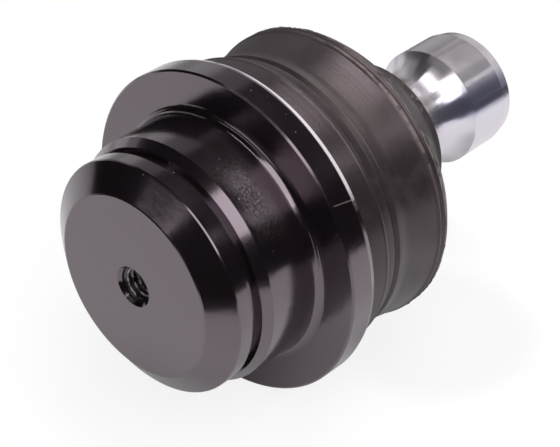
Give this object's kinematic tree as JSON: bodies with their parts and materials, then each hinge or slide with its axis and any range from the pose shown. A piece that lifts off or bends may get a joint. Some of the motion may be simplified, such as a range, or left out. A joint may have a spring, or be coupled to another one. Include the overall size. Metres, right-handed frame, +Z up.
{
  "type": "suspension ball joint",
  "caption": "Press-in suspension ball joint: black flanged housing with a retaining-ring groove, rubber dust boot, and a steel ball stud waisted for a pinch bolt.",
  "frame": {"origin": "on the joint's axis, at the middle of the press seat of the housing", "axes": "+Y along the joint's axis, from the closed end towards the stud; +Z up with the joint lying on its side"},
  "size_m": [0.056, 0.0818, 0.056],
  "materials": {
    "housing_coat": "glossy black electrocoat on turned steel",
    "bright_steel": "fine-turned, bright and lightly oiled",
    "spring_steel": "plain rolled steel",
    "bearing_polymer": "natural acetal, matt",
    "boot_rubber": "satin moulded rubber with a parting line"
  },
  "bodies": {
    "housing": {"housing": "housing_coat", "closing_ring": "bright_steel", "preload_spring": "spring_steel", "dust_boot": "boot_rubber", "boot_base_insert": "spring_steel"},
    "bearing": {"lower_bearing": "bearing_polymer", "upper_bearing": "bearing_polymer"},
    "boot_neck": {"boot_lip_insert": "spring_steel"},
    "stud": {"ball_stud": "bright_steel"}
  },
  "joints": [
    {"name": "swing_direction", "type": "hinge", "parent": "housing", "child": "bearing", "pos_m": [0, 0.01108, 0], "axis": [0, 1, 0], "continuous": true},
    {"name": "swing", "type": "hinge", "parent": "bearing", "child": "boot_neck", "pos_m": [0, 0.01108, 0], "axis": [1, 0, 0], "range_deg": [-24, 24], "deforming": ["dust_boot"]},
    {"name": "stud_spin", "type": "hinge", "parent": "boot_neck", "child": "stud", "pos_m": [0, 0.01108, 0], "axis": [0, 1, 0], "continuous": true}
  ]
}
